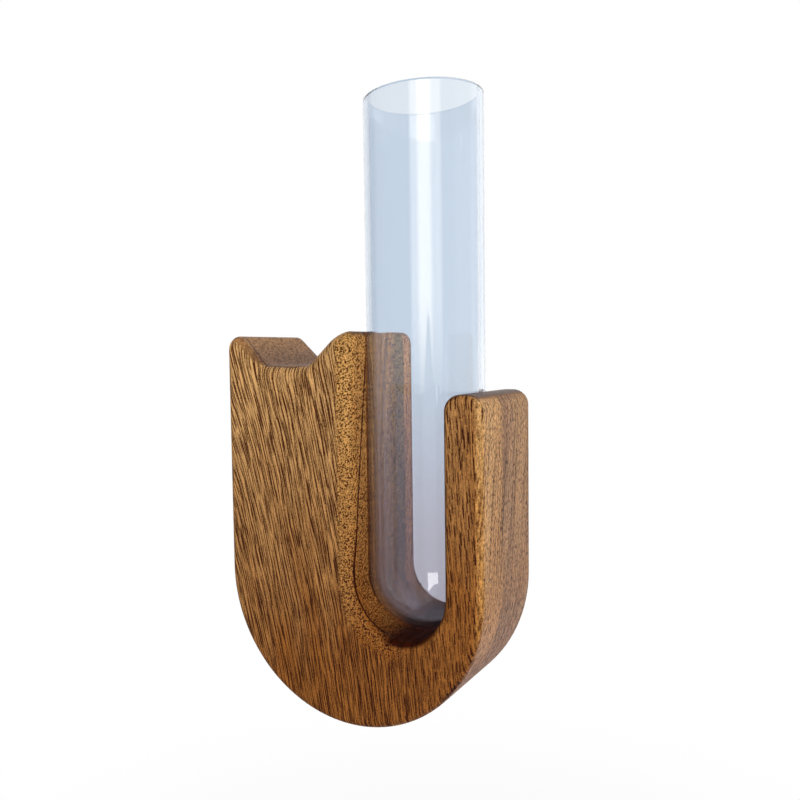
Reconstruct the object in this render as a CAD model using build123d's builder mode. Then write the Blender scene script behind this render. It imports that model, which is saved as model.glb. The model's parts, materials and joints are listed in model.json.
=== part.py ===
from build123d import *
import os
from math import radians, tan

# A test tube vase: a round-bottomed glass tube stands in a slotted hardwood block that hangs on a steel
# surface by two disc magnets in its back. Millimetres, +Z up, the front faces -Y, the back face is Y = 0.
# X = 0 is the middle of the block's wide body. Z = 0 is the spring line, where the round bottom begins.

# Glass tube
tube_diameter = 25.0
tube_length = 110.8  # along the axis
glass_wall = 1.2
rim_round = 0.5
rim_slant = 3.0  # degrees, the rim isn't cut quite square
rim_rise = 30.0  # degrees from +X towards +Y, the way the rim climbs

# How the tube sits in the block
seat_clearance = 0.3  # free space round the tube in its bore
lip_grip = 2.3  # how far each slot wall stands in front of the tube
front_setback = 1.2  # tube behind the front face
back_setback = 0.3  # tube in front of the back face
seat_sink = 0.35  # tube bottom under the slot floor

# Block outline, heights counted from the spring line
body_width = 32.6
arm_width = 8.2
ear_top = 51.75
left_ear_tip = 1.75  # level top of each ear, to where its slope would begin if its crest were sharp
right_ear_tip = 3.75
ear_slope = 42.0  # degrees from level
valley_depth = 7.1
arm_drop = 12.75  # arm top under the ear tops
slot_depth = 10.9  # slot floor under the spring line

# Roundings of the outline's corners, and of the front and back edges
left_crest_round = 5.2
right_crest_round = 9.0
valley_round = 2.5
arm_round = 3.3
ear_round = 3.0
edge_round = 1.7

# Magnets in the back
magnet_diameter = 12.0
magnet_thickness = 3.0
magnet_edge = 0.3
magnet_clearance = 0.1  # free space round the magnet in its pocket
magnet_recess = 0.2  # magnet under the back face
upper_magnet_z = 27.0
lower_magnet_z = -9.0

# Sizes that follow
tube_radius = tube_diameter / 2
bore_radius = tube_radius + seat_clearance
thickness = tube_diameter + front_setback + back_setback
slot_width = tube_diameter - 2 * lip_grip
slot_radius = slot_width / 2
bottom_radius = (body_width + slot_width + arm_width) / 2
left_x = -body_width / 2
slot_left_x = body_width / 2
slot_right_x = slot_left_x + slot_width
right_x = slot_right_x + arm_width
slot_x = slot_left_x + slot_radius
tube_y = -back_setback - tube_radius
valley_z = ear_top - valley_depth
arm_top = ear_top - arm_drop
slot_spring_z = slot_radius - slot_depth
ear_run = valley_depth / tan(radians(ear_slope))
left_crest_x = left_x + left_ear_tip
right_crest_x = slot_left_x - right_ear_tip
cut_left_x = left_x - left_crest_round
cut_right_x = slot_left_x + right_crest_round
blank_top = ear_top + edge_round
cut_top = blank_top + edge_round
tube_bottom = -slot_depth - seat_sink
ball_z = tube_bottom + tube_radius
tube_top = tube_bottom + tube_length
uncut_top = tube_top + tube_radius
magnet_radius = magnet_diameter / 2

# Upright half-section plane through the tube's axis, and the plane of its rim
tube_plane = Plane(origin=(slot_x, tube_y, 0), x_dir=(1, 0, 0), z_dir=(0, -1, 0))
tube_axis = Axis(tube_plane.origin, (0, 0, 1))
rim_plane = Plane(Pos(slot_x, tube_y, tube_top) * Rot(Z=rim_rise) * Rot(Y=-rim_slant))


def round_ended_half(radius, top):
    # Half section of a round-ended rod about the tube's axis, with the ball's centre at ball_z
    with BuildSketch(tube_plane) as half:
        with BuildLine():
            ball = CenterArc((0, ball_z), radius, -90, 90)
            Polyline(ball @ 1, (radius, top), (0, top), ball @ 0)
        make_face()
    return half.sketch


with BuildPart() as holder:
    with BuildSketch(Plane.XZ):
        with BuildLine():
            # The blank: up the outer side, down into the U slot, over the arm and round the bottom
            body = Polyline(
                (left_x, 0),
                (left_x, blank_top),
                (slot_left_x, blank_top),
                (slot_left_x, slot_spring_z),
            )
            ThreePointArc(body @ 1, (slot_x, -slot_depth), (slot_right_x, slot_spring_z))
            arm = FilletPolyline(
                (slot_right_x, slot_spring_z),
                (slot_right_x, arm_top),
                (right_x, arm_top),
                (right_x, 0),
                radius=arm_round,
            )
            ThreePointArc(arm @ 1, (right_x - bottom_radius, -bottom_radius), body @ 0)
        make_face()
        with BuildLine():
            # The cut across its top: over the left ear, down into the valley and over the right ear
            ears = FilletPolyline(
                (cut_left_x, ear_top),
                (left_crest_x, ear_top),
                (left_crest_x + ear_run, valley_z),
                (right_crest_x - ear_run, valley_z),
                (right_crest_x, ear_top),
                (cut_right_x, ear_top),
                radius=(left_crest_round, valley_round, valley_round, right_crest_round),
            )
            Polyline(ears @ 1, (cut_right_x, cut_top), (cut_left_x, cut_top), ears @ 0)
        make_face(mode=Mode.SUBTRACT)
    extrude(amount=thickness)
    # The edges along the ears and the valley are rounded most
    top_faces = holder.faces().filter_by(lambda f: f.normal_at().Z > 0 and f.center().X < slot_left_x)
    fillet(top_faces.edges().filter_by(Plane.XZ), ear_round)
    # The others run on smoothly from the upright edges of the front and back
    flat_faces = holder.faces().filter_by(Axis.Y)
    fillet(flat_faces.edges().filter_by(Axis.Z), edge_round)
    # Ball-ended bore: it grooves both slot walls, and the lips left in front and behind hold the tube
    revolve(round_ended_half(bore_radius, blank_top), axis=tube_axis, mode=Mode.SUBTRACT)
    # Blind pockets for the magnets
    with BuildSketch(Plane.XZ):
        with Locations((0, upper_magnet_z), (0, lower_magnet_z)):
            Circle(magnet_radius + magnet_clearance)
    extrude(amount=magnet_recess + magnet_thickness, mode=Mode.SUBTRACT)

with BuildPart() as test_tube:
    revolve(round_ended_half(tube_radius, uncut_top), axis=tube_axis)
    revolve(round_ended_half(tube_radius - glass_wall, uncut_top), axis=tube_axis, mode=Mode.SUBTRACT)
    split(bisect_by=rim_plane, keep=Keep.BOTTOM)
    rim = test_tube.faces().sort_by(Axis.Z)[-1]
    fillet(rim.edges(), rim_round)

os.makedirs("parts", exist_ok=True)
holder.part.label = "wooden_holder"
export_step(holder.part, "parts/wooden_holder.step")
test_tube.part.label = "test_tube"
export_step(test_tube.part, "parts/test_tube.step")

for name, height in (("magnet_upper", upper_magnet_z), ("magnet_lower", lower_magnet_z)):
    with BuildPart() as magnet:
        with BuildSketch(Plane.XZ.offset(magnet_recess)):
            with Locations((0, height)):
                Circle(magnet_radius)
        extrude(amount=magnet_thickness)
        fillet(magnet.edges().filter_by(GeomType.CIRCLE), magnet_edge)
    magnet.part.label = name
    export_step(magnet.part, f"parts/{name}.step")
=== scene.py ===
import json
from math import radians, tan

import bpy
from mathutils import Matrix, Vector


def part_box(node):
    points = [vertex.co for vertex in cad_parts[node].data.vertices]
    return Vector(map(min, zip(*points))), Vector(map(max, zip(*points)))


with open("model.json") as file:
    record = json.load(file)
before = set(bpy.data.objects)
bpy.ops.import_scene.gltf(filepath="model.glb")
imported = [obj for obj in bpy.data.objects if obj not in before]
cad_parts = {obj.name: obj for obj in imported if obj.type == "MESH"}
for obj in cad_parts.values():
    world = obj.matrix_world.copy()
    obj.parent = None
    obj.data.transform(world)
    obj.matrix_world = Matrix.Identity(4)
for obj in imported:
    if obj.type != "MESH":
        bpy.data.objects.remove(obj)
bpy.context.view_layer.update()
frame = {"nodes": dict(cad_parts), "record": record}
print("frame loaded:", ", ".join(sorted(frame["nodes"])))


class Wire:
    # one output of a shader node; plain sums on it add Math nodes
    def __init__(self, tree, socket=None):
        self.tree = tree
        self.socket = socket

    def node(self, kind, settings=None, sockets=None, out=0):
        made = self.tree.nodes.new(kind)
        for name, value in (settings or {}).items():
            setattr(made, name, value)
        for name, value in (sockets or {}).items():
            if isinstance(value, Wire):
                self.tree.links.new(value.socket, made.inputs[name])
            else:
                made.inputs[name].default_value = value
        return Wire(self.tree, made.outputs[out] if made.outputs else None)

    def take(self, out):
        return Wire(self.tree, self.socket.node.outputs[out])

    def math(self, operation, *terms):
        return self.node("ShaderNodeMath", {"operation": operation}, dict(enumerate(terms)))

    def __add__(self, other):
        return self.math("ADD", self, other)

    def __radd__(self, other):
        return self.math("ADD", other, self)

    def __sub__(self, other):
        return self.math("SUBTRACT", self, other)

    def __rsub__(self, other):
        return self.math("SUBTRACT", other, self)

    def __mul__(self, other):
        return self.math("MULTIPLY", self, other)

    def __rmul__(self, other):
        return self.math("MULTIPLY", other, self)

    def __neg__(self):
        return self.math("MULTIPLY", self, -1)

    def __abs__(self):
        return self.math("ABSOLUTE", self)

    def ease(self, low, high):  # 0 under low, 1 over high, soft between
        return self.node(
            "ShaderNodeMapRange",
            {"interpolation_type": "SMOOTHSTEP"},
            {"Value": self, "From Min": low, "From Max": high},
        )

    def below(self, limit, fade):  # 0 over the limit, 1 once it is a fade under it
        return (limit - self).ease(0, fade)

    def atLeast(self, other):
        return self.math("MAXIMUM", self, other)

    def atMost(self, other):
        return self.math("MINIMUM", self, other)

    def vector(self, x, y, z):
        return self.node("ShaderNodeCombineXYZ", None, {0: x, 1: y, 2: z})

    def split(self, spot):
        return self.node("ShaderNodeSeparateXYZ", None, {0: spot})

    def noise(self, spot, scale=(1, 1, 1), detail=2.0, rough=0.5):
        placed = self.vector(*(along * size for along, size in zip(spot, scale)))
        return self.node(
            "ShaderNodeTexNoise",
            None,
            {"Vector": placed, "Scale": 1, "Detail": detail, "Roughness": rough},
        )

    def strands(self, x, y, width, soft, scatter=0.85, reach=0.6, taper=0.3, weakest=0.4):
        # short lengths of line, one in each long cell
        spot = self.vector(x, y, 0)
        cell = self.node(
            "ShaderNodeTexVoronoi",
            {"voronoi_dimensions": "2D"},
            {"Vector": spot, "Scale": 1, "Randomness": scatter},
            "Position",
        )
        offset = self.node("ShaderNodeVectorMath", {"operation": "SUBTRACT"}, {0: spot, 1: cell})
        away = self.split(offset)
        strength = self.split(cell.take("Color"))
        line = abs(away).below(width, soft)
        ends = abs(away.take("Y")).below(reach, taper)
        return line * ends * (strength * (1 - weakest) + weakest)

    def blend(self, share, first, second, how="MIX"):
        return self.node(
            "ShaderNodeMix",
            {"data_type": "RGBA", "blend_type": how},
            {0: share, 6: first, 7: second},
            out=2,
        )


def tone(red, green, blue):  # screen colour, 0 to 255, as the shader's own
    def linear(value):
        value /= 255
        return value / 12.92 if value <= 0.04045 else ((value + 0.055) / 1.055) ** 2.4

    return (linear(red), linear(green), linear(blue), 1.0)


def newMaterial(name):
    material = bpy.data.materials.new(name)
    material.use_nodes = True
    material.node_tree.nodes.clear()
    return material, Wire(material.node_tree)


def finishMaterial(start, shader):
    start.node("ShaderNodeOutputMaterial", None, {"Surface": shader})


def millimetres(start):  # the part's own millimetres, fixed in the piece
    place = start.node("ShaderNodeTexCoord", None, None, "Object")
    x = start.split(start.node("ShaderNodeVectorMath", {"operation": "SCALE"}, {0: place, "Scale": 1000}))
    return x, x.take("Y"), x.take("Z")


white = (1, 1, 1, 1)

# Pairs are the two ends of an ease, or a limit and its fade where the name says Under. Lengths are mm.
oiledWood = {
    "grainLean": 12.0,  # degrees off upright at the middle of the body
    "leanLoss": 0.0036,  # grain straightens towards the arm, per mm
    "layerLean": 0.125,  # growth layers lean back this much per mm of height
    "swayScale": (0.06, 0.06, 0.025),
    "swayAcross": 3.0,
    "swayDepth": 1.5,
    # how far a face turns one way to count as front, top, side or floor
    "frontFacing": (0.25, 0.5),
    "topFacing": (0.4, 0.65),
    "sideFacing": (0.5, 0.85),
    "floorFacing": (0.25, 0.7),
    "leftEarUnder": (-6, 4),  # the front ends sooner here
    "leftEarShare": 0.4,
    "armRound": (34, 36),  # and the top here
    "armRoundShare": 0.3,
    "topHeight": (10, 20),
    # the slot and what lies round it
    "slotCentre": (26.5, -0.7),  # centre of the slot's round end
    "slotRadius": 10.2,
    "slotZone": 3.6,  # round the slot the pores are cut short
    "zoneSoft": 0.8,
    "zoneScale": (0.9, 0.9, 0.3),
    "zoneRag": 3.5,
    "zoneUnder": (30, 6),
    "floorUnder": (-2, 4),
    "floorReachUnder": (3.5, 1),
    "shadedFloor": (20.5, 25),
    "boreUnder": (3.2, 0.3),
    "boreStart": (-18.5, -16.5),
    "backLipStart": (-6.5, -5.5),
    "backLipUnder": (0.5, 0.4),
    "backEdgeDepth": (-2.4, -1.2),
    "backEdgeStart": (13, 15),
    "backEdgeUnder": (20, 2),
    "backEdgeFacing": (0.2, 0.5),
    "backEdgeRough": 0.4,
    "gapStart": (0.02, 0.25),
    "gapUnder": (-16.5, 1.5),
    "gapDepth": (-21, -20.4),
    # the arm
    "armZone": (28, 36),
    "outerSide": (40, 44),
    "highlightEdgeSpan": (42.5, 44),
    "highlightEdgeFacing": (0.15, 0.5),
    "highlightEdgeFlecks": 0.6,
    "armEdgeUnder": (0.92, 0.3),
    "armEdgeStart": (35.5, 36.5),
    "armEdgeEndUnder": (41, 2),
    "armTopStart": (36, 38),
    "bandStart": (-16.4, -15.2),
    "bandUnder": (-9.6, 1.2),
    "bandHeight": (-40, 50),
    "stripeRate": 4.6,
    "stripeWave": (0.3, 0.9),
    "stripeStart": (-9, -8),
    "stripeUnder": (-2.5, 1),
    "paleSideUnder": (-15.6, 1.5),
    # long pores on the body, dashes on the arm, dots round the slot and on top, flecks on the sides
    "streaks": (
        {"scale": (1.15, 0.12), "shift": (0, 0), "width": 0.23, "soft": 0.16, "share": 1.0},
        {"scale": (1.9, 0.2), "shift": (31, 17), "width": 0.25, "soft": 0.19, "share": 0.85},
    ),
    "streakGain": 1.25,
    "streakGround": 0.4,
    "dashes": (
        {"scale": (1.1, 0.36), "shift": (0, 0), "width": 0.27, "soft": 0.2, "share": 1.0},
        {"scale": (1.9, 0.5), "shift": (23, 11), "width": 0.26, "soft": 0.2, "share": 0.7},
    ),
    "dashGround": 0.3,
    "groundScale": (3.4, 1.0, 0.16),
    "groundDark": (0.44, 0.70),
    "groundPaleUnder": (0.5, 0.16),
    "gritScale": (4.6, 4.6, 2.6),
    "gritDark": (0.45, 0.75),
    "gritPaleUnder": (0.5, 0.2),
    "gritShare": 0.4,
    "dotScale": 2.8,
    "dotScaleTop": 1.4,  # taken off on top, where the dots are coarser
    "dotTilt": 0.8,
    "dotStretch": 0.75,
    "dotDark": (0.44, 0.60),
    "dotShare": 0.9,
    "dotShareTop": 0.35,
    "lineScale": (1.8, 0.2, 0.03),
    "lineDark": (0.45, 0.68),
    "lineShare": 0.55,
    "fleckScale": (3.0, 1, 1.1),
    "fleckDark": (0.46, 0.64),
    "fleckShare": 0.6,
    "boreSpeckle": 0.5,
    "borePores": 0.2,
    "topPores": 0.15,
    "poreDepth": 0.00006,  # m
    "poreBump": 0.5,
    "poreRough": 0.25,
    # from brown at the lower right to gold at the upper left, partly the wood's own colour and partly painted
    # light from above
    "brown": (0.285, 0.102, 0.018, 1.0),
    "gold": (0.60, 0.342, 0.130, 1.0),
    "goldFrom": (-8, -25),  # X and Z where the gold begins
    "goldAcross": 0.0066,
    "goldUp": 0.0145,
    "figureScale": (0.16, 0.2, 0.018),
    "figureGold": 0.7,
    "slotGold": 0.1,
    "outerGold": 0.25,
    "armGold": 0.2,
    "armGoldHeight": (5, 40),
    "valley": (-13, -8),
    # dark growth rings: under the left ear, beside the slot and on the arm's outer side
    "ringDepth": (-29.1, -26.2),
    "ringRise": 0.125,
    "earRingX": -14,
    "earRingLean": 0.1,
    "slotRingLow": 3.6,
    "slotRingCurl": 0.14,
    "ringChange": (0, 12),
    "ringSway": 0.8,
    "ringUnder": (0.34, 0.2),
    "ringEndUnder": (25, 3),
    "ringFlat": (0.97, 1.0),
    "ringFaint": 0.65,  # strength under the ear
    "sideRingDepth": 17.3,
    "sideRingUnder": (0.26, 0.2),
    "sideRingStart": (-6, -2),
    "sideRingEndUnder": (28, 4),
    "sideRingShare": 0.7,
    "roughness": 0.42,
    "specular": 0.12,
    "coatSide": 0.07,
    "coatTop": 0.12,
    "coatRough": 0.3,
    # each is multiplied in, in this order
    "washes": {
        "pale": (1.35, 1.33, 1.30, 1.0),  # ground between fine pores
        "slotWarm": (1.0, 0.94, 0.74, 1.0),  # the short-pored wood round the slot
        # painted light: side-facing walls round the slot lighter, as if lit from the right
        "slotWallLight": (1.35, 1.30, 1.25, 1.0),
        "endGrainAndShade": (0.66, 0.57, 0.53, 1.0),  # upward faces darker: they soak up more oil, and painted shade where less light falls on them
        "endShade": (0.58, 0.56, 0.62, 1.0),  # painted shade on upward faces, most of it down in the valley between the ears
        "armTop": (0.55, 0.46, 0.42, 1.0),
        "armEdgeShade": (0.34, 0.24, 0.20, 1.0),  # painted shade along the arm's left and upper rounded edge, where it turns away from the light
        # painted shadow of the tube on the slot's floor, darker to the right
        "slotFloorShadow": (0.17, 0.07, 0.06, 1.0),
        "bore": (2.15, 1.5, 0.72, 1.0),  # painted light: the inside of the bore made brighter where little light reaches
        # painted shade: the bore's floor under the tube a little darker
        "seat": (0.9, 0.9, 0.8, 1.0),
        # painted light: the bore's back lip paler and bluer, as if lit from behind
        "backLipLight": (1.5, 1.6, 2.6, 1.0),
        # painted shade on the back rounded edge behind the slot, which also gets a rougher finish
        "backEdgeShade": (0.45, 0.42, 0.42, 1.0),
        "gapShade": (0.40, 0.28, 0.22, 1.0),  # painted shade in the crevice where the bore turns in behind the front lip
        "stripe": (1.22, 1.25, 1.25, 1.0),  # lighter lines behind the band
        "sideDark": (0.84, 0.80, 0.90, 1.0),  # band in the arm's outer side
        # painted sheen: the arm's outer side paler towards the front
        "sidePaintedSheen": (1.48, 1.54, 1.50, 1.0),
        "paintedEdgeHighlight": (1.90, 2.35, 2.90, 1.0),  # painted highlight on the arm's rounded right edge
        "pore": (0.10, 0.036, 0.012, 1.0),  # what a pore leaves of the colour
        "ring": (0.16, 0.05, 0.03, 1.0),
    },
}


def strandLayers(start, across, z, layers):
    found = None
    for layer in layers:
        (wide, tall), (aside, up) = layer["scale"], layer["shift"]
        lines = start.strands(across * wide + aside, z * tall + up, layer["width"], layer["soft"])
        lines = lines * layer["share"]
        found = lines if found is None else found.atLeast(lines)
    return found


def makeWood(look):
    material, start = newMaterial("oiledWood")
    x, y, z = millimetres(start)
    normal = start.split(start.node("ShaderNodeNewGeometry", None, None, "Normal"))
    towards, upward = -normal.take("Y"), normal.take("Z")

    # which way the face looks
    leftEar = x.below(*look["leftEarUnder"]) * look["leftEarShare"]
    front = (towards - leftEar).ease(*look["frontFacing"])
    armRound = x.ease(*look["armRound"]) * look["armRoundShare"]
    top = (upward - armRound).ease(*look["topFacing"]) * (1 - front) * z.ease(*look["topHeight"])
    side = abs(normal).ease(*look["sideFacing"]) * (1 - front)
    outer = side * x.ease(*look["outerSide"])

    # the run of the grain
    sway = start.noise((x, y, z), look["swayScale"]) - 0.5
    lean = tan(radians(look["grainLean"])) - x * look["leanLoss"]
    across = x + z * lean + sway * look["swayAcross"]
    depth = y - z * look["layerLean"] + sway * look["swayDepth"]

    # the slot, the bore and their edges
    drop = (z - look["slotCentre"][1]).atMost(0)
    aside = x - look["slotCentre"][0]
    fromSlot = start.math("SQRT", aside * aside + drop * drop) - look["slotRadius"]
    ragged = (start.noise((x, y, z), look["zoneScale"], 2.0, 0.6) - 0.5) * look["zoneRag"]
    slotZone = (look["slotZone"] - fromSlot + ragged).ease(-look["zoneSoft"], look["zoneSoft"])
    slotZone = slotZone * x.below(*look["zoneUnder"])
    floor = upward.ease(*look["floorFacing"]) * z.below(*look["floorUnder"])
    floor = floor * fromSlot.below(*look["floorReachUnder"])
    inBore = fromSlot.below(*look["boreUnder"]) * (1 - front)
    bore = inBore * y.ease(*look["boreStart"])
    # painted light on the bore's back lip
    backLipLight = bore * y.ease(*look["backLipStart"]) * fromSlot.below(*look["backLipUnder"]) * (1 - floor)
    # painted shade on the back rounded edge behind the slot
    backEdgeShade = y.ease(*look["backEdgeDepth"]) * x.ease(*look["backEdgeStart"])
    backEdgeShade = backEdgeShade * x.below(*look["backEdgeUnder"]) * normal.ease(*look["backEdgeFacing"])
    # painted shade in the crevice behind the front lip
    gapShade = inBore * fromSlot.ease(*look["gapStart"]) * y.below(*look["gapUnder"]) * (1 - floor)

    # the arm
    armZone = x.ease(*look["armZone"])
    # painted highlight on the arm's rounded right edge, which also gets flecked pores
    highlightEdge = x.ease(*look["highlightEdgeSpan"]) * front * normal.ease(*look["highlightEdgeFacing"])
    # painted shade on the arm's inner rounded edge, by how far it turns from the front
    armEdgeShade = towards.below(*look["armEdgeUnder"]) * x.ease(*look["armEdgeStart"])
    armEdgeShade = armEdgeShade * x.below(*look["armEdgeEndUnder"]) * front
    band = y.ease(*look["bandStart"]) * y.below(*look["bandUnder"]) * z.ease(*look["bandHeight"])
    stripes = start.math("SINE", depth * look["stripeRate"]).ease(*look["stripeWave"])
    stripes = stripes * y.ease(*look["stripeStart"]) * y.below(*look["stripeUnder"])

    # pores
    ground = start.noise((across, depth, z), look["groundScale"], 1.0, 0.5)
    groundDark = ground.ease(*look["groundDark"])
    grit = start.noise((x, y, z), look["gritScale"], 1.0, 0.5)
    streaks = strandLayers(start, across, z, look["streaks"]) * look["streakGain"]
    streaks = streaks + groundDark * look["streakGround"]
    dashes = strandLayers(start, across, z, look["dashes"]) + groundDark * look["dashGround"]
    coarse = look["dotScale"] - top * look["dotScaleTop"]
    tilted = (x * coarse, (y - z * look["dotTilt"]) * coarse, (z + y * look["dotTilt"]) * coarse)
    dots = start.noise(tilted, (1, 1, look["dotStretch"]), 1.0, 0.5).ease(*look["dotDark"])
    dots = dots * (look["dotShare"] - top * look["dotShareTop"])
    lines = start.noise((depth, x, z), look["lineScale"], 2.0, 0.6).ease(*look["lineDark"])
    flecks = start.noise((depth, x, z), look["fleckScale"], 1.0, 0.5).ease(*look["fleckDark"])
    lines = lines * look["lineShare"] + flecks * look["fleckShare"]
    flecked = side.atLeast(highlightEdge * look["highlightEdgeFlecks"])
    speckle = slotZone.atLeast(top) * (1 - bore * look["boreSpeckle"])
    pores = streaks * (1 - armZone) + dashes * armZone
    pores = pores * (1 - flecked) + lines * flecked
    pores = pores * (1 - speckle) + dots * speckle
    pores = pores + grit.ease(*look["gritDark"]) * look["gritShare"]
    pores = (pores * (1 + bore * look["borePores"])).atMost(1)

    # rings
    earDepth = z * look["ringRise"] - (x - look["earRingX"]) * look["earRingLean"] + look["ringDepth"][0]
    slotDepth = z.atLeast(look["slotRingLow"]) * look["ringRise"]
    slotDepth = slotDepth + (-z).atLeast(0) * look["slotRingCurl"] + look["ringDepth"][1]
    beside = x.ease(*look["ringChange"])
    fromRing = abs(y + sway * look["ringSway"] - earDepth * (1 - beside) - slotDepth * beside)
    ring = fromRing.below(*look["ringUnder"]) * x.below(*look["ringEndUnder"])
    ring = ring * (1 - towards.ease(*look["ringFlat"]))
    sideRing = abs(depth + look["sideRingDepth"]).below(*look["sideRingUnder"]) * outer
    sideRing = sideRing * z.ease(*look["sideRingStart"]) * z.below(*look["sideRingEndUnder"])
    ring = ring * (beside * (1 - look["ringFaint"]) + look["ringFaint"])
    ring = ring.atLeast(sideRing * look["sideRingShare"])

    # colour
    figure = start.noise((across, depth, z), look["figureScale"], 2.0, 0.5) - 0.5
    # gold towards the top: partly the wood's own colour, partly painted light from above
    golden = (z - look["goldFrom"][1]) * look["goldUp"] - (x - look["goldFrom"][0]) * look["goldAcross"]
    golden = golden + figure * look["figureGold"] + slotZone * look["slotGold"] + outer * look["outerGold"]
    golden = golden - armZone * z.ease(*look["armGoldHeight"]) * look["armGold"]
    base = start.blend(golden.atLeast(0).atMost(1), look["brown"], look["gold"])
    lighter = ground.below(*look["groundPaleUnder"]).atLeast(grit.below(*look["gritPaleUnder"]))
    shares = {
        "pale": lighter * (1 - bore),
        "slotWarm": slotZone * (1 - bore) * (1 - top),
        # painted light on the slot's side-facing walls
        "slotWallLight": slotZone * side * (1 - bore),
        # oil-soaked end grain and painted shade on upward faces
        "endGrainAndShade": top * (1 - bore),
        # painted shade down in the valley between the ears
        "endShade": top * x.ease(*look["valley"]),
        "armTop": top * x.ease(*look["armTopStart"]),
        "armEdgeShade": armEdgeShade,
        "slotFloorShadow": floor * x.ease(*look["shadedFloor"]),
        # painted shadow of the tube on the slot floor
        "bore": bore,
        "seat": bore * floor,
        "backLipLight": backLipLight,
        "backEdgeShade": backEdgeShade,
        "gapShade": gapShade * y.ease(*look["gapDepth"]),
        "stripe": outer * stripes,
        "sideDark": outer * band,
        # painted sheen on the front part of the arm's outer side
        "sidePaintedSheen": outer * y.below(*look["paleSideUnder"]),
        "paintedEdgeHighlight": highlightEdge,
        "pore": pores * (1 - top * look["topPores"]),
        "ring": ring,
    }
    for name, wash in look["washes"].items():
        base = start.blend(shares[name], base, wash, "MULTIPLY")

    coat = (outer * look["coatSide"]).atLeast(top * look["coatTop"] * (1 - slotZone))
    bump = start.node(
        "ShaderNodeBump",
        None,
        {"Strength": look["poreBump"], "Distance": look["poreDepth"], "Height": -pores},
    )
    shader = start.node(
        "ShaderNodeBsdfPrincipled",
        None,
        {
            "Base Color": base,
            "Roughness": pores * look["poreRough"] + backEdgeShade * look["backEdgeRough"] + look["roughness"],
            "Specular IOR Level": look["specular"],
            "Coat Weight": coat,
            "Coat Roughness": look["coatRough"],
            "Normal": bump,
        },
    )
    finishMaterial(start, shader)
    return material


clearGlass = {
    "tint": (0.76, 0.825, 0.90, 1.0),
    "slotShadeTint": (0.67, 0.66, 0.72, 1.0),  # painted shade: the glass greyer and darker low down, in the slot
    "tintHeight": (-5, 50),  # mm
    "edgeTint": (0.60, 0.675, 0.79, 1.0),  # the long way through the wall at the tube's edges
    "edgeFacing": (0.50, 0.64),
    "edgeHeight": (44, 54),  # mm
    "clearness": 0.97,  # the rest is a thin haze
    "passing": (0.99, 0.99, 0.99, 1.0),  # what each face lets through to the wood
    "index": 1.5,
    "smearScale": (0.2, 0.2, 0.05),
    "smear": (0.55, 0.8),
    "smearRough": 0.03,
}


def makeGlass(look):
    material, start = newMaterial("clearGlass")
    x, y, z = millimetres(start)
    smear = start.noise((x, y, z), look["smearScale"], 3.0, 0.6).ease(*look["smear"])
    facing = start.node("ShaderNodeLayerWeight", None, {"Blend": 0.5}, "Facing")
    edge = facing.ease(*look["edgeFacing"]) * z.ease(*look["edgeHeight"])
    # painted shade: the glass darker towards the bottom
    tint = start.blend(z.ease(*look["tintHeight"]), look["slotShadeTint"], look["tint"])
    shader = start.node(
        "ShaderNodeBsdfPrincipled",
        None,
        {
            "Base Color": start.blend(edge, tint, look["edgeTint"]),
            "Roughness": smear * look["smearRough"],
            "IOR": look["index"],
            "Transmission Weight": look["clearness"],
        },
    )
    path = start.node("ShaderNodeLightPath", None, None, "Is Shadow Ray")
    lampWay = path.atLeast(path.take("Is Diffuse Ray"))  # light reaches the wood behind the glass
    passing = start.node("ShaderNodeBsdfTransparent", None, {"Color": look["passing"]})
    finishMaterial(start, start.node("ShaderNodeMixShader", None, {0: lampWay, 1: shader, 2: passing}))
    return material


brightNickel = {
    "plate": tone(186, 182, 173),
    "dull": tone(158, 153, 144),
    "cloudScale": (0.4, 0.4, 0.4),
    "cloud": (0.3, 0.8),
    "cloudShare": 0.4,
    "scuffScale": (0.5, 9, 9),
    "scuffLean": 2,
    "scuff": (0.45, 0.75),
    "scuffShare": 0.5,
    "grainScale": (9, 9, 9),
    "grainRough": 0.15,
    "roughness": 0.18,
}


def makeNickel(look):
    material, start = newMaterial("brightNickel")
    x, y, z = millimetres(start)
    cloud = start.noise((x, y, z), look["cloudScale"], 4.0, 0.6).ease(*look["cloud"])
    grain = start.noise((x, y, z), look["grainScale"], 2.0, 0.6)
    wide, deep, tall = look["scuffScale"]
    leaning = (x * wide, y * deep, z * tall + x * look["scuffLean"])
    scuff = start.noise(leaning, detail=2.0, rough=0.6).ease(*look["scuff"])
    dulled = cloud * look["cloudShare"] + scuff * look["scuffShare"]
    shader = start.node(
        "ShaderNodeBsdfPrincipled",
        None,
        {
            "Base Color": start.blend(dulled, look["plate"], look["dull"]),
            "Roughness": grain * look["grainRough"] + look["roughness"],
            "Metallic": 1.0,
        },
    )
    finishMaterial(start, shader)
    return material


finishes = {
    "hardwood": makeWood(oiledWood),
    "clear_glass": makeGlass(clearGlass),
    "magnet_plating": makeNickel(brightNickel),
}
for subpart in frame["record"]["subparts"]:
    mesh = frame["nodes"][subpart["node"]].data
    mesh.materials.clear()
    mesh.materials.append(finishes[subpart["material_slot"]])
print("finishes on:", ", ".join(finishes))


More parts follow.
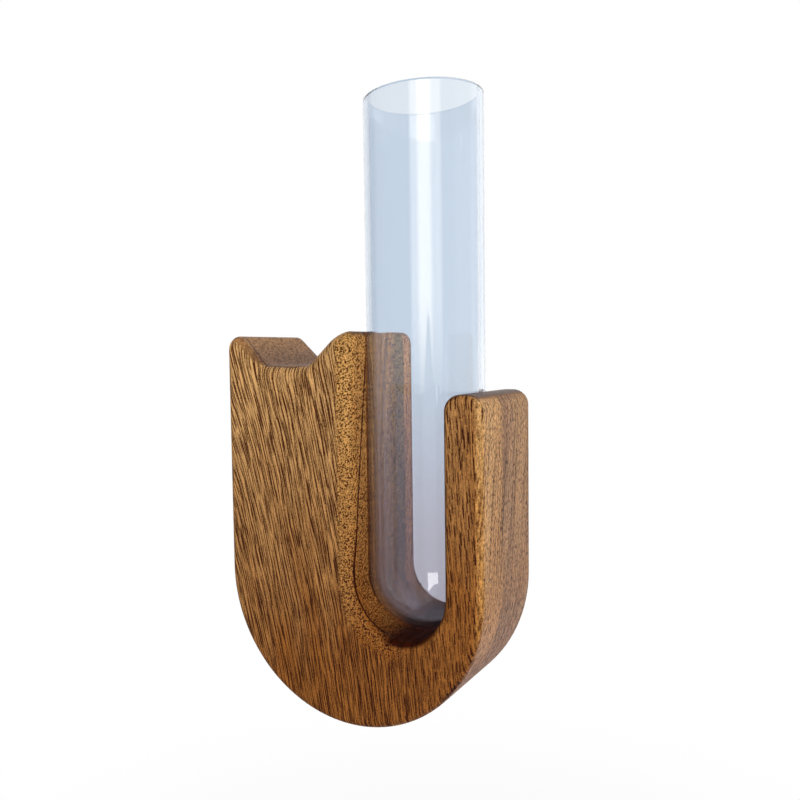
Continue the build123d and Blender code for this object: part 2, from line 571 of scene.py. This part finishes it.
# Turns are degrees from the eye. Pairs are the two ends of an ease, or a limit and its fade for Under.
studio = {
    "floorDrop": 0.09,  # m under the block
    "floorSize": 6.0,
    "floorColour": tone(244, 244, 246),
    "floorGlow": 0.88,  # share of the floor that is plain white to the eye, near the object
    "floorReach": (0.05, 0.22),  # m, where it goes over to all white
    "fill": 0.4,
    "dim": (0.05, 0.05, 0.06, 1.0),  # what gloss sees in front of the object
    "behind": (1.2, 1.2, 1.2, 1.0),
    "behindLean": 0.6,
    "behindSpan": (-0.15, 0.7),
    "behindUnder": (-118, 25),
    "rightBehind": (2.0, 2.0, 2.0, 1.0),
    "rightBehindStart": (92, 108),
    "rightBehindUnder": (152, 14),
    "eye": 27.6,  # degrees from straight in front towards +X, where the window stands
    "window": (3.9, 3.7, 3.3, 1.0),
    "windowStart": (-30, -21),
    "windowUnder": (36, 8),
    "windowFoot": (-0.10, 0.09),
    "windowHeadUnder": (0.5, 0.1),
    "windowCore": (8.9, 8.0, 6.4, 1.0),
    "windowCoreUnder": (17, 10),
    "spearTurn": 5,  # a dark point that stands up into the window
    "spearTip": 0.055,
    "spearSpread": 80,
    "spearWidth": 3,
    "spearSoft": 4,
    "spearHeadUnder": (0.065, 0.03),
    "spearShare": 0.8,
    "right": (0.8, 0.82, 0.85, 1.0),
    "rightStart": (30, 38),
    "rightUnder": (62, 8),
    "left": (0.65, 0.62, 0.90, 1.0),
    "leftStart": (-66, -54),
    "leftUnder": (-18, 12),
    "bars": (2.6, 2.6, 2.7, 1.0),
    "barsTurn": 23,
    "barsApart": 3.5,
    "barsUnder": (2.0, 2),
    "glint": (9, 9, 9, 1.0),
    "glintStart": (-2, 0),
    "glintFrom": 0.235,  # m from the tube
    "glintSpread": 110,
    "glintWidth": 3,
    "glintSoft": 4,
    "glintUnder": (0.46, 0.005),
}


def mirrored(start, look, x, y):  # what gloss sees round about, and the way there in degrees from the eye
    turn = start.math("DEGREES", start.math("ARCTAN2", x, -y)) - look["eye"]
    behind = (y + x * look["behindLean"]).ease(*look["behindSpan"])
    behind = behind.atLeast(turn.below(*look["behindUnder"]))
    colour = start.blend(behind, look["dim"], look["behind"])
    rightBehind = turn.ease(*look["rightBehindStart"]) * turn.below(*look["rightBehindUnder"])
    colour = start.blend(rightBehind, colour, look["rightBehind"])
    right = turn.ease(*look["rightStart"]) * turn.below(*look["rightUnder"])
    return turn, start.blend(right, colour, look["right"])


def makeFloor(look):
    low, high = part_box("test_tube")
    under = ((low.x + high.x) / 2, (low.y + high.y) / 2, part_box("wooden_holder")[0].z - look["floorDrop"])
    bpy.ops.mesh.primitive_plane_add(size=look["floorSize"], location=under)
    floor = bpy.context.object
    floor.name = "paleFloor"
    material, start = newMaterial("paleFloor")
    place = start.node("ShaderNodeTexCoord", None, None, "Object")
    away = start.node("ShaderNodeVectorMath", {"operation": "LENGTH"}, {0: place}, "Value")
    spot = start.split(place)
    turn, colour = mirrored(start, look, spot, spot.take("Y"))
    left = turn.ease(*look["leftStart"]) * turn.below(*look["leftUnder"])
    colour = start.blend(left, colour, look["left"])
    bars = abs(abs(turn - look["barsTurn"]) - look["barsApart"]).below(*look["barsUnder"])
    colour = start.blend(bars, colour, look["bars"])
    glintEdge = (away - look["glintFrom"]) * look["glintSpread"] + look["glintWidth"]
    glint = turn.ease(*look["glintStart"]) * (glintEdge - turn).ease(0, look["glintSoft"])
    glint = glint * away.below(*look["glintUnder"])
    colour = start.blend(glint, colour, look["glint"])

    # plain white to the eye, also through the glass, and the room to gloss
    path = start.node("ShaderNodeLightPath", None, None, "Is Camera Ray")
    through = path.take("Is Transmission Ray")
    gloss = path.take("Is Glossy Ray") * (1 - through)
    shown = start.blend(gloss, white, colour)
    plain = start.node("ShaderNodeEmission", None, {"Color": shown, "Strength": 1.0})
    lit = start.node("ShaderNodeBsdfDiffuse", None, {"Color": look["floorColour"]})
    far = away.ease(*look["floorReach"])
    glow = (look["floorGlow"] + far * (1 - look["floorGlow"])) * path.atLeast(through)
    finishMaterial(start, start.node("ShaderNodeMixShader", None, {0: glow.atLeast(gloss), 1: lit, 2: plain}))
    floor.data.materials.append(material)


def makeWorld(look):
    world = bpy.data.worlds.new("whiteStudio")
    bpy.context.scene.world = world
    world.use_nodes = True
    world.node_tree.nodes.clear()
    start = Wire(world.node_tree)
    x = start.split(start.node("ShaderNodeTexCoord", None, None, "Generated"))
    z = x.take("Z")
    turn, colour = mirrored(start, look, x, x.take("Y"))
    window = turn.ease(*look["windowStart"]) * turn.below(*look["windowUnder"])
    window = window * z.ease(*look["windowFoot"]) * z.below(*look["windowHeadUnder"])
    spearEdge = (look["spearTip"] - z) * look["spearSpread"] + look["spearWidth"]
    spear = (spearEdge - abs(turn - look["spearTurn"])).ease(0, look["spearSoft"])
    spear = spear * z.below(*look["spearHeadUnder"])
    core = abs(turn).below(*look["windowCoreUnder"])
    pane = start.blend(core, look["window"], look["windowCore"])
    colour = start.blend(window * (1 - spear * look["spearShare"]), colour, pane)

    path = start.node("ShaderNodeLightPath", None, None, "Is Camera Ray")
    clear = path.atLeast(path.take("Is Transmission Ray"))
    colour = start.blend(clear, colour, white)
    shown = start.node("ShaderNodeBackground", None, {"Color": colour, "Strength": 1.0})
    fill = start.node("ShaderNodeBackground", None, {"Color": white, "Strength": look["fill"]})
    direct = clear.atLeast(path.take("Is Glossy Ray"))
    mixed = start.node("ShaderNodeMixShader", None, {0: direct, 1: fill, 2: shown})
    start.node("ShaderNodeOutputWorld", None, {"Surface": mixed})


softboxes = {
    "windowPanel": {"spot": (0.10, -1.25, 0.45), "aim": (0.02, -0.01, 0.02), "size": (1.1, 1.3), "power": 8.0},
    "rightPanel": {"spot": (1.10, -0.62, 0.25), "aim": (0.02, -0.01, 0.02), "size": (0.8, 1.0), "power": 5.0},
}


def hangSoftbox(name, look):
    lamp = bpy.data.lights.new(name, "AREA")
    lamp.shape = "RECTANGLE"
    lamp.size, lamp.size_y = look["size"]
    lamp.energy = look["power"]
    box = bpy.data.objects.new(name, lamp)
    bpy.context.scene.collection.objects.link(box)
    box.location = look["spot"]
    away = box.location - Vector(look["aim"])
    box.rotation_euler = away.to_track_quat("Z", "Y").to_euler()
    box.visible_glossy = False  # gloss mirrors the world's own window
    box.visible_transmission = False  # and no panel shows through the glass


makeFloor(studio)
makeWorld(studio)
for name, look in softboxes.items():
    hangSoftbox(name, look)
print("studio lit by:", ", ".join(softboxes))


viewpoint = {
    "spot": (0.10425, -0.16169, 0.04698),
    "yaw": 29.477,  # degrees to the right of straight in front
    "pitch": 3.51,  # degrees down
    "roll": -0.742,
    "lens": 35.9,  # mm
    "film": 36.0,  # mm
    "rise": 0.0026,
    "near": 0.01,  # m
}


def standCamera(look):
    camera = bpy.data.objects.new("viewpoint", bpy.data.cameras.new("viewpoint"))
    bpy.context.scene.collection.objects.link(camera)
    camera.data.lens = look["lens"]
    camera.data.sensor_width = look["film"]
    camera.data.shift_y = look["rise"]
    camera.data.clip_start = look["near"]
    turn = Matrix.Rotation(radians(look["yaw"]), 4, "Z")
    tip = Matrix.Rotation(radians(90 - look["pitch"]), 4, "X")
    roll = Matrix.Rotation(radians(look["roll"]), 4, "Z")
    camera.matrix_world = Matrix.Translation(look["spot"]) @ turn @ tip @ roll
    bpy.context.scene.camera = camera


standCamera(viewpoint)
bpy.context.scene.view_settings.view_transform = "Standard"
print("camera stands")
